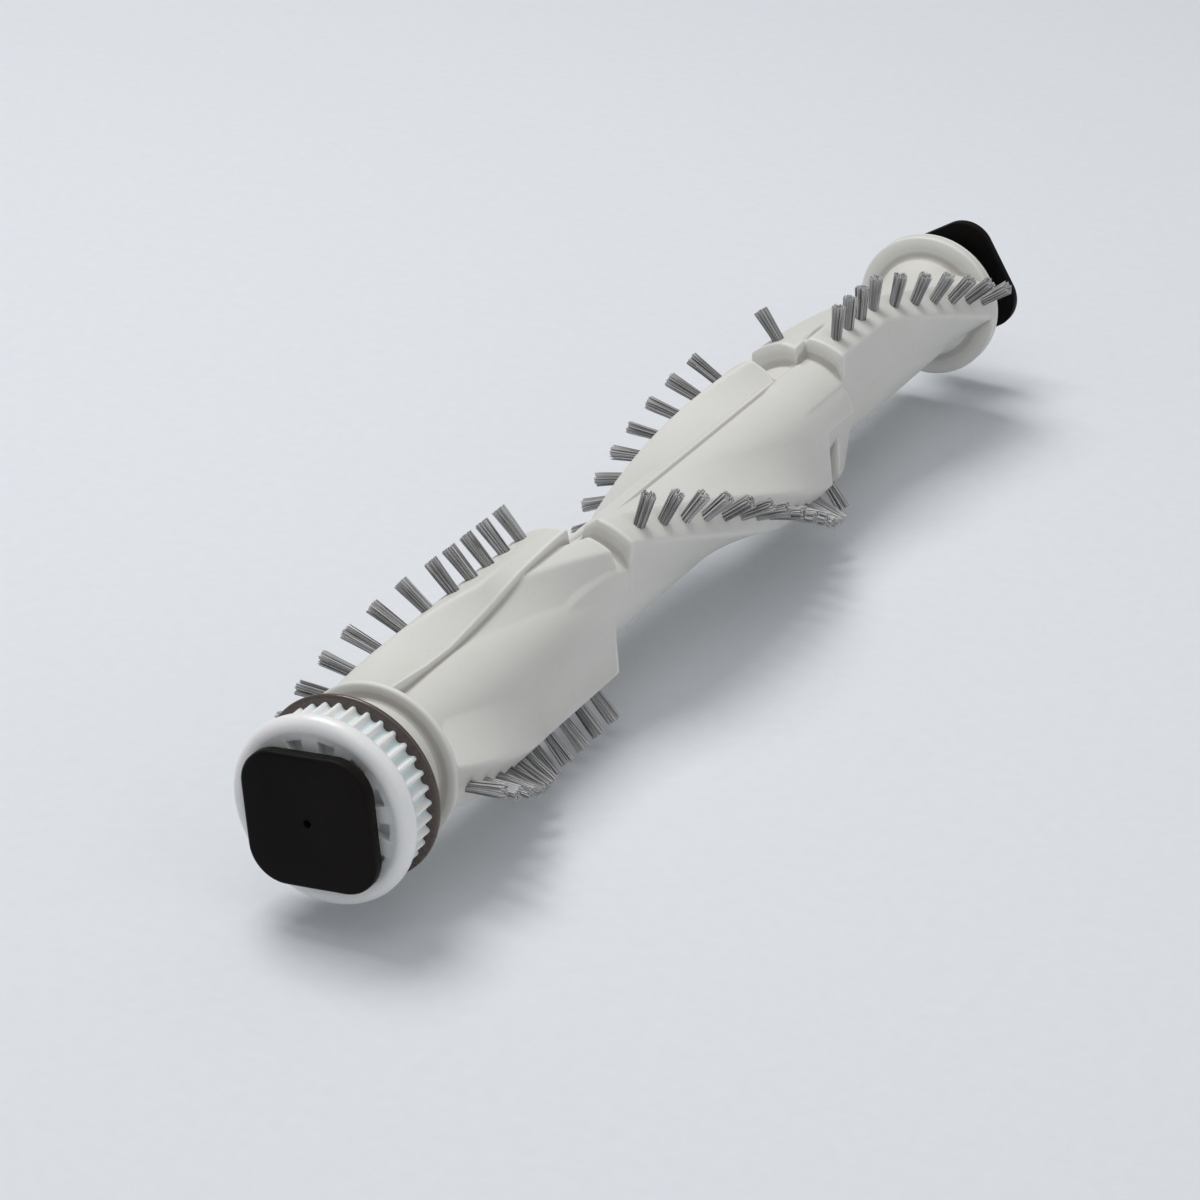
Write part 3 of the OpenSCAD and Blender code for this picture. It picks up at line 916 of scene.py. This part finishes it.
@dataclass
class TuftRow:
    """A row of bristle tufts.

    Args:
        name: node that the row stands for.
        places: places of the tufts along the roll.
        angles: their angles.
        turn: half turn of a paired row.
        filaments: filaments in a tuft.
        ridge_radius: radius at the mouth of a hole.
        tip_radius: radius of the cut tips.
        rake: angle by which a tuft's tips trail its hole.
        lean: greatest lean of a whole tuft along the roll.
        stray: usual spread of a filament's tip.
        wild: spread of the few wild filaments.
        wild_share: share of wild filaments.
        bow: usual bow of a filament.
        root_half: half width of a tuft at its hole.
        tip_half: half width of a tuft at its tips.
        flare: power with which a tuft opens towards its tips.
        filament_half: half width of a filament.
        shortest: length of the shortest filament, as a share of the longest.
        sunk: depth of the filaments in the hole.
        base_tones: darkest and lightest usual tone of a tuft, from 0 to 1.
        tone_spread: spread of the tones within a tuft.
        sides: sides of a filament.
        cuts: lengths that a filament is divided into.
    """

    name: str
    places: Sequence[float]
    angles: Sequence[float]
    turn: float
    filaments: int = 88
    ridge_radius: float = 16.3
    tip_radius: float = 23.45
    rake: float = 4.5
    lean: float = 0.25
    stray: float = 0.05
    wild: float = 0.16
    wild_share: float = 0.12
    bow: float = 0.07
    root_half: float = 1.16
    tip_half: float = 1.48
    flare: float = 1.3
    filament_half: float = 0.125
    shortest: float = 0.955
    sunk: float = 1.5
    base_tones: tuple[float, float] = (0.25, 0.5)
    tone_spread: float = 0.24
    sides: int = 5
    cuts: int = 3

    def prototype(self) -> bpy.types.Mesh:
        """One straight filament of unit radius and length, with rings along it."""
        shaped = bmesh.new()
        bmesh.ops.create_cone(
            shaped, cap_ends=True, segments=self.sides, radius1=1.0, radius2=1.0, depth=1.0
        )
        lengthwise = [e for e in shaped.edges if abs(e.verts[0].co.z - e.verts[1].co.z) > 0.5]
        bmesh.ops.subdivide_edges(shaped, edges=lengthwise, cuts=self.cuts - 1)
        bmesh.ops.translate(shaped, verts=shaped.verts, vec=(0, 0, 0.5))
        made = bpy.data.meshes.new("filament")
        shaped.to_mesh(made)
        shaped.free()
        return made

    def build(self, assembly: Assembly, material: bpy.types.Material, seed: int) -> None:
        """Adds the row in place of its plain cones.

        Args:
            assembly: adds the piece and knows the spin axis.
            material: material of the filaments.
            seed: start of the row's own chance.
        """
        bundle = FilamentBundle(self.prototype())
        chance = random.Random(seed)
        for place, angle in zip(self.places, self.angles):
            self._tuft(bundle, assembly.axis, place, angle + self.turn, chance)
        title = self.name + "_bristles"
        assembly.add(
            title, bundle.mesh(title), material, Body.ROLLER, "bristle", [self.name], crease=50.0
        )

    def _tuft(
        self,
        bundle: FilamentBundle,
        axis: SpinAxis,
        place: float,
        angle: float,
        chance: random.Random,
    ) -> None:
        """Adds the filaments of one tuft, fanned from its hole to its cut tips."""
        head = axis.point(self.tip_radius, angle - self.rake, place)
        seat = axis.point(self.ridge_radius, angle, place)
        outward = (head - seat).normalized()
        foot = seat - outward * self.sunk * MM
        across = outward.cross(Vector((0, 1, 0))).normalized()
        along = across.cross(outward).normalized()
        length = (head - foot).length
        lean = chance.uniform(-self.lean, self.lean)
        base_tone = chance.uniform(*self.base_tones)
        height = bundle.unit[:, 2]
        opened = height**self.flare
        for _ in range(self.filaments):
            ring, turn = math.sqrt(chance.random()), chance.uniform(0, 2 * math.pi)
            u, v = ring * math.cos(turn), ring * math.sin(turn)
            stray = self.wild if chance.random() < self.wild_share else self.stray
            tip_u = u * self.tip_half + lean + chance.gauss(0, stray)
            tip_v = v * self.tip_half + chance.gauss(0, stray)
            bow = chance.gauss(0, self.bow) * np.sin(height * math.pi)
            side = bundle.unit[:, 0] * self.filament_half + u * self.root_half * (1 - opened)
            deep = bundle.unit[:, 1] * self.filament_half + v * self.root_half * (1 - opened)
            points = (
                np.array(foot)[None, :]
                + np.outer(height * length * chance.uniform(self.shortest, 1.0), np.array(outward))
                + np.outer((side + tip_u * opened + bow) * MM, np.array(along))
                + np.outer((deep + tip_v * opened) * MM, np.array(across))
            )
            bundle.add(points, min(1.0, max(0.0, chance.gauss(base_tone, self.tone_spread))))


@dataclass
class DrivePulley:
    """The white toothed wheel: dished face with pockets, round rim and belt teeth."""

    # Face and the round recess in it
    face: float = -21.8
    face_chamfer: float = 0.25
    recess_radius: float = 10.0
    recess_floor: float = -16.0
    recess_fillet: float = 0.3
    bore_radius: float = 3.5

    # Pockets
    pockets: int = 13
    first_pocket: float = 70.0
    pocket_angle: float = 13.5
    pocket_inner: float = 10.9
    pocket_radius: float = 14.1
    pocket_floor: float = -19.8
    pocket_chamfer: float = 0.15
    pocket_draft: float = 0.1
    pocket_margin: float = 0.05
    pocket_wall: float = 0.25
    pocket_columns: int = 16

    # Round rim, or bead, and the hub behind it
    rim_radius: float = 18.25
    bead: float = 2.2
    bead_place: float = -19.8
    bead_end: float = 170.0
    bead_rings: int = 28
    hub_radius: float = 15.4
    hub_gap: float = 0.1

    # Belt teeth
    band_front: float = -17.7
    band_back: float = -11.5
    band_rings: int = 5
    teeth: int = 36
    tip_radius: float = 16.79
    groove_radius: float = 0.95
    groove_centre: float = 16.54
    teeth_inner: float = 15.0
    tooth_columns: int = 14
    own_weight: int = 3

    def build(self, assembly: Assembly, material: bpy.types.Material) -> None:
        """Adds the wheel in place of its solid."""
        rim = self._rim(assembly)
        teeth = self._teeth(assembly)
        joined = bmesh.new()
        joined.from_mesh(rim)
        joined.from_mesh(teeth)
        mesh = bpy.data.meshes.new("pulley_wheel")
        joined.to_mesh(mesh)
        joined.free()
        assembly.add(
            "pulley_wheel", mesh, material, Body.ROLLER, "white_plastic", ["drive_pulley"], crease=35.0
        )

    def _rim(self, assembly: Assembly) -> bpy.types.Mesh:
        """Face, recess, pockets and round rim."""
        bead_middle = self.rim_radius - self.bead
        first = -math.degrees(math.acos((self.bead_place - self.face) / self.bead))
        recess, inner_edge, outer_edge = self.recess_radius, self.pocket_inner, self.pocket_radius
        chamfer, draft = self.face_chamfer, self.pocket_draft
        plain = [
            (self.bore_radius, self.recess_floor),
            (recess - self.recess_fillet, self.recess_floor),
            (recess, self.recess_floor - self.recess_fillet),
            (recess, self.face + chamfer),
            (recess + chamfer, self.face),
            (inner_edge - self.pocket_margin, self.face),
        ]
        cut = plain + [
            (inner_edge, self.face + self.pocket_chamfer),
            (inner_edge + draft, self.pocket_floor),
            (outer_edge - draft, self.pocket_floor),
            (outer_edge, self.face + self.pocket_chamfer),
        ]
        level = (inner_edge + 2 * draft, outer_edge - 2 * draft, outer_edge - draft, outer_edge)
        plain += [(radius, self.face) for radius in level]
        bead = [
            (
                bead_middle + self.bead * math.sin(math.radians(d)),
                self.bead_place - self.bead * math.cos(math.radians(d)),
            )
            for d in np.linspace(first, self.bead_end, self.bead_rings)
        ]
        back = [(self.hub_radius, self.band_front + self.hub_gap), (self.hub_radius, self.band_back)]
        back += [(self.bore_radius, self.band_back)]
        paths = np.array([plain + bead + back, cut + bead + back])
        count = self.pockets * self.pocket_columns
        pitch = 360 / self.pockets
        half = self.pocket_angle / 2
        inner = self.pocket_columns // 2
        offsets = list(np.linspace(-half, half, inner))
        wide = half + self.pocket_wall
        outer = list(np.linspace(wide, pitch - wide, self.pocket_columns - inner))
        starts = [self.first_pocket + k * pitch for k in range(self.pockets)]
        angles = np.array([start + shift for start in starts for shift in offsets + outer])
        is_cut = np.array([j % self.pocket_columns < inner for j in range(count)]).astype(int)

        def shape(ring: np.ndarray, column: np.ndarray) -> np.ndarray:
            """Points of the rim."""
            chosen = paths[is_cut[column], ring]
            return assembly.axis.points(chosen[:, 0], angles[column], chosen[:, 1])

        return TurnedBlank(count, paths.shape[1]).mesh("pulley_rim", shape)

    def _teeth(self, assembly: Assembly) -> bpy.types.Mesh:
        """Band of belt teeth with round gullets."""
        pitch = 360 / self.teeth
        count = self.teeth * self.tooth_columns
        angles = np.arange(count) * 360 / count
        off = np.radians((angles + pitch / 2) % pitch - pitch / 2)
        sunk = self.groove_radius**2 - (self.groove_centre * np.sin(off)) ** 2
        gullet = self.groove_centre * np.cos(off) - np.sqrt(np.maximum(sunk, 0))
        radii = np.where(sunk > 0, np.minimum(gullet, self.tip_radius), self.tip_radius)
        spread = np.roll(radii, 1) + self.own_weight * radii + np.roll(radii, -1)
        radii = spread / (self.own_weight + 2)
        along = np.linspace(self.band_front, self.band_back, self.band_rings)
        places = np.concatenate([along[:1], along, along[-1:]])
        ends = np.array([True] + [False] * len(along) + [True])

        def shape(ring: np.ndarray, column: np.ndarray) -> np.ndarray:
            """Points of the teeth."""
            radius = np.where(ends[ring], self.teeth_inner, radii[column])
            return assembly.axis.points(radius, angles[column], places[ring])

        return TurnedBlank(count, len(places)).mesh("pulley_teeth", shape)


@dataclass
class BeltFlange:
    """The thin glossy disc behind the teeth.

    Args:
        front: place of the side towards the teeth.
        thickness: thickness of the disc, whose edge is half round.
        radius: its outer radius.
        bore: radius of its hole.
        edge_rings: rings over the half round edge.
        columns: columns round the disc.
    """

    front: float = -11.5
    thickness: float = 1.3
    radius: float = 18.1
    bore: float = 3.6
    edge_rings: int = 13
    columns: int = 180

    def build(self, assembly: Assembly, material: bpy.types.Material) -> None:
        """Adds the disc in place of its solid."""
        half = self.thickness / 2
        flat_end = self.radius - self.thickness
        back = self.front + self.thickness
        path = [(self.bore, self.front), (flat_end, self.front)]
        for degrees in np.linspace(-90, 90, self.edge_rings):
            turn = math.radians(degrees)
            path.append(
                (self.radius - half + half * math.cos(turn), self.front + half + half * math.sin(turn))
            )
        path += [(flat_end, back), (self.bore, back)]
        rings = np.array(path)
        angles = np.arange(self.columns) * 360 / self.columns

        def shape(ring: np.ndarray, column: np.ndarray) -> np.ndarray:
            """Points of the disc."""
            return assembly.axis.points(rings[ring, 0], angles[column], rings[ring, 1])

        mesh = TurnedBlank(self.columns, len(rings)).mesh("belt_flange_disc", shape)
        assembly.add(
            "belt_flange_disc", mesh, material, Body.ROLLER, "brown_plastic", ["belt_flange"], crease=45.0
        )


@dataclass
class EndCap:
    """A square cap with rounded corners and edges, and the round cup that holds its bearing.

    Args:
        name: name of the piece.
        node: the node that it stands for.
        body: the body that it rides on.
        face: place of the outer face.
        inward: 1 where the roller lies at higher places, otherwise -1.
        turn: turn about the axis.
        half_side: half the side of the square.
        corner: radius of its corners.
        plate: thickness of the square plate.
        edge: rounding of its outer edge.
        back_edge: rounding of its edge towards the roller.
        edge_rings: rings over the outer edge.
        face_shares: places of the rings across the face, as shares of the outline.
        dimple: radius of the dimple in the middle of the face.
        dimple_depth: its depth.
        dimple_fillet: rounding of its floor.
        dimple_chamfer: width and depth of the chamfer round it.
        cup_radius: outer radius of the cup.
        cup_chamfer: chamfer round the outside of its mouth.
        bearing_radius: radius of the bearing's seat.
        mouth_chamfer: chamfer round the inside of the mouth.
        relief_radius: radius of the relief behind the bearing.
        relief_wall: distance from the plate's back to the floor of the relief.
        floor: distance from the face to the bearing's seat.
        mouth: distance from the face to the mouth.
        pole: radius of the last ring.
        columns: columns round the cap.
    """

    name: str
    node: str
    body: Body
    face: float
    inward: int
    turn: float
    half_side: float = 13.0
    corner: float = 7.05
    plate: float = 2.6
    edge: float = 0.8
    back_edge: float = 0.4
    edge_rings: int = 7
    face_shares: Sequence[float] = (0.35, 0.7)
    dimple: float = 0.75
    dimple_depth: float = 1.2
    dimple_fillet: float = 0.2
    dimple_chamfer: tuple[float, float] = (0.15, 0.12)
    cup_radius: float = 9.6
    cup_chamfer: float = 0.3
    bearing_radius: float = 8.0
    mouth_chamfer: float = 0.2
    relief_radius: float = 4.9
    relief_wall: float = 0.3
    floor: float = 3.9
    mouth: float = 9.5
    pole: float = 0.4
    columns: int = 192

    def outline(self, angle: np.ndarray, inset: float) -> np.ndarray:
        """Radius of the rounded square.

        Args:
            angle: angles from the middle of a side.
            inset: distance inside the outline.

        Returns:
            The radii.
        """
        half, corner = self.half_side - inset, self.corner - inset
        off = np.abs((angle + 45) % 90 - 45)
        side = half / np.cos(np.radians(off))
        middle = (half - corner) * math.sqrt(2)
        tilt = np.radians(45 - off)
        sunk = np.maximum(corner**2 - (middle * np.sin(tilt)) ** 2, 0)
        curve = middle * np.cos(tilt) + np.sqrt(sunk)
        straight = np.tan(np.radians(off)) * half <= half - corner
        return np.where(straight, side, curve)

    def build(self, assembly: Assembly, material: bpy.types.Material) -> None:
        """Adds the cap in place of its solid."""
        angles = np.arange(self.columns) * 360 / self.columns
        wide, deep = self.dimple_chamfer
        dimple = [
            (self.dimple * 0.3, self.dimple_depth),
            (self.dimple * 0.9, self.dimple_depth),
            (self.dimple, self.dimple_depth - self.dimple_fillet),
            (self.dimple, deep),
            (self.dimple + wide, 0.0),
        ]
        outline = [(self.edge, share, 0.0) for share in self.face_shares]
        for degrees in np.linspace(0, 90, self.edge_rings):
            tilt = math.radians(degrees)
            outline.append((self.edge * (1 - math.sin(tilt)), 1.0, self.edge * (1 - math.cos(tilt))))
        for inset, rise in ((0.0, 1.0), (0.3, 0.3), (1.0, 0.0)):
            outline.append((self.back_edge * inset, 1.0, self.plate - self.back_edge * rise))
        relief = self.plate + self.relief_wall
        cup = [
            (self.cup_radius, self.plate),
            (self.cup_radius, self.mouth - self.cup_chamfer),
            (self.cup_radius - self.cup_chamfer, self.mouth),
            (self.bearing_radius + self.mouth_chamfer, self.mouth),
            (self.bearing_radius, self.mouth - self.mouth_chamfer),
            (self.bearing_radius, self.floor),
            (self.relief_radius, self.floor),
            (self.relief_radius, relief),
            (self.pole, relief),
        ]
        rings = [(np.full(self.columns, radius), depth) for radius, depth in dimple]
        rings += [(self.outline(angles, inset) * share, depth) for inset, share, depth in outline]
        rings += [(np.full(self.columns, radius), depth) for radius, depth in cup]
        radii = np.array([r for r, _ in rings])
        depths = np.array([d for _, d in rings])

        def shape(ring: np.ndarray, column: np.ndarray) -> np.ndarray:
            """Points of the cap."""
            turned = self.turn + self.inward * angles[column]
            places = self.face + self.inward * depths[ring]
            return assembly.axis.points(radii[ring, column], turned, places)

        mesh = TurnedBlank(self.columns, len(rings), Ends.FILLED).mesh(self.name, shape)
        assembly.add(self.name, mesh, material, self.body, "black_plastic", [self.node], crease=35.0)


@dataclass
class Studio:
    """Pale floor, soft lights and the camera at the photograph's angle.

    Args:
        axis: the spin axis.
        camera_place: place of the camera from the axis at the drive end flange, in millimetres.
        camera_right: the camera's direction to the right.
        camera_forward: its direction forward.
        lens: its focal length, in millimetres.
        sensor: width of its sensor, in millimetres.
        sky_colour: colour of the light from all round.
        sky_strength: strength of that light.
        floor_half: half width of the floor, in metres.
    """

    axis: SpinAxis
    camera_place: tuple[float, float, float] = (332.81, -559.4, 347.36)
    camera_right: tuple[float, float, float] = (0.88846, 0.45896, 0.0)
    camera_forward: tuple[float, float, float] = (-0.41291, 0.79931, -0.43659)
    lens: float = 123.8
    sensor: float = 36.0
    sky_colour: tuple[float, float, float] = (0.92, 0.95, 1.0)
    sky_strength: float = 0.32
    floor_half: float = 4.0

    def build(self) -> None:
        """Adds the floor, the lights, the world and the camera."""
        self._floor()
        self._light("key", (-0.45, 0.1, 1.15), 0.6, 9.5)
        self._light("fill", (1.15, -0.25, 0.65), 1.1, 2.6)
        self._light("top", (0.2, -0.4, 1.1), 0.8, 1.8)
        world = bpy.data.worlds.new("studio")
        world.use_nodes = True
        background = world.node_tree.nodes["Background"]
        background.inputs["Color"].default_value = (*self.sky_colour, 1.0)
        background.inputs["Strength"].default_value = self.sky_strength
        bpy.context.scene.world = world
        bpy.context.scene.view_settings.view_transform = "Standard"
        self._camera()

    def _floor(self) -> None:
        """A wide pale floor."""
        shaped = bmesh.new()
        bmesh.ops.create_grid(shaped, x_segments=1, y_segments=1, size=self.floor_half)
        mesh = bpy.data.meshes.new("floor")
        shaped.to_mesh(mesh)
        shaped.free()
        shader = Shader("pale_floor")
        colour = shader.mixed(shader.noise(300.0, 2.0), (0.7, 0.72, 0.75), (0.74, 0.76, 0.79))
        mesh.materials.append(shader.finish({"Roughness": 0.85}, {"Base Color": colour}))
        floor = bpy.data.objects.new("floor", mesh)
        bpy.context.scene.collection.objects.link(floor)

    def _light(self, name: str, place: tuple[float, float, float], size: float, power: float) -> None:
        """A soft square light that faces the roll."""
        lamp = bpy.data.lights.new(name, "AREA")
        lamp.size = size
        lamp.energy = power
        holder = bpy.data.objects.new(name, lamp)
        holder.location = place
        holder.rotation_mode = "QUATERNION"
        holder.rotation_quaternion = (-Vector(place)).to_track_quat("-Z", "Y")
        bpy.context.scene.collection.objects.link(holder)

    def _camera(self) -> None:
        """The camera, from the fitted view."""
        camera = bpy.data.cameras.new("camera")
        camera.lens = self.lens
        camera.sensor_width = self.sensor
        camera.clip_start = 0.01
        camera.clip_end = 50.0
        holder = bpy.data.objects.new("camera", camera)
        forward = Vector(self.camera_forward).normalized()
        right = Vector(self.camera_right).normalized()
        up = right.cross(forward)
        place = Vector(self.camera_place) * MM + Vector((0, self.axis.zero, self.axis.height))
        turned = Matrix((right, up, -forward)).transposed()
        holder.matrix_world = Matrix.Translation(place) @ turned.to_4x4()
        bpy.context.scene.collection.objects.link(holder)
        bpy.context.scene.camera = holder


def dress(nodes: Sequence[str], material: bpy.types.Material) -> None:
    """Gives carried-over nodes a material.

    Args:
        nodes: names of the nodes.
        material: the material.
    """
    for name in nodes:
        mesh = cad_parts[name].data
        mesh.materials.clear()
        mesh.materials.append(material)
        log.info("%s: dressed", name)


def tuft_rows(form: RollForm) -> list[TuftRow]:
    """The rows of tufts, with the places and angles of their holes.

    Args:
        form: the form of the moulding.

    Returns:
        The rows.
    """
    stretches = [
        ("drive", form.drive_first, 11, form.drive_angle),
        ("middle", form.middle_first, 13, form.lobe_angle),
        ("idle", form.idle_first, 10, form.idle_angle),
    ]
    rows = []
    for letter, turn in (("a", 180.0), ("b", 0.0)):
        for stretch, first, count, helix in stretches:
            places = [first + form.tuft_pitch * i for i in range(count)]
            angles = [float(helix(place)) for place in places]
            rows.append(TuftRow(f"{stretch}_row_{letter}", places, angles, turn))
    angle = float(form.lobe_angle(form.single_tuft))
    rows.append(TuftRow("single_tufts", [form.single_tuft] * 2, [angle, angle - 180.0], 0.0))
    return rows


def main() -> None:
    """Builds the brush roll's looks and the studio."""
    logging.basicConfig(level=logging.INFO, format="%(name)s %(message)s")
    form = RollForm()
    axis = SpinAxis.from_frame(form.neck_front)
    assembly = Assembly(axis)
    grey = MouldedPlastic(
        "grey_plastic",
        (0.66, 0.65, 0.61),
        (0.57, 0.56, 0.52),
        (0.4, 0.56),
        # Colour of the painted highlight on raised edges, then of the painted shade in grooves.
        edge_highlight=(0.78, 0.77, 0.73),
        groove_shade=(0.3, 0.275, 0.235),
    ).material()
    white = MouldedPlastic(
        "white_plastic", (0.86, 0.87, 0.86), (0.78, 0.79, 0.78), (0.26, 0.38), coat=0.2, milky=0.3
    ).material()
    brown = MouldedPlastic(
        "brown_plastic", (0.062, 0.043, 0.034), (0.09, 0.068, 0.055), (0.2, 0.32), coat=0.3
    ).material()
    black = MouldedPlastic(
        "black_plastic", (0.006, 0.0055, 0.0055), (0.014, 0.011, 0.009), (0.34, 0.5), gloss=0.06
    ).material()
    nylon = NylonFilament(
        "nylon_filament", (0.15, 0.145, 0.145), (0.36, 0.355, 0.355), (0.74, 0.73, 0.72)
    ).material()
    ground = GroundSteel("ground_steel", (0.6, 0.6, 0.61), (0.22, 0.38)).material()
    bearing = GroundSteel("bearing_steel", (0.68, 0.68, 0.7), (0.12, 0.24)).material()
    ball = GroundSteel("ball_steel", (0.8, 0.8, 0.82), (0.04, 0.1)).material()
    washer = MouldedPlastic(
        "washer_plastic", (0.5, 0.48, 0.42), (0.4, 0.38, 0.33), (0.35, 0.5)
    ).material()

    MouldedRoller(form).build(assembly, grey)
    for seed, row in enumerate(tuft_rows(form)):
        row.build(assembly, nylon, seed)
    DrivePulley().build(assembly, white)
    BeltFlange().build(assembly, brown)
    EndCap("drive_cap_shell", "drive_end_cap", Body.DRIVE_CAP, -25.9, 1, -5.2).build(assembly, black)
    EndCap("idle_cap_shell", "idle_end_cap", Body.IDLE_CAP, 263.3, -1, -30.8).build(assembly, black)
    dress(["axle", "drive_dust_washer", "idle_dust_washer"], ground)
    dress(["drive_inner_ring", "drive_outer_ring", "idle_inner_ring", "idle_outer_ring"], bearing)
    dress(["drive_balls", "idle_balls"], ball)
    dress(["drive_thrust_washer", "idle_thrust_washer"], washer)
    Studio(axis).build()


if __name__ == "__main__":
    main()
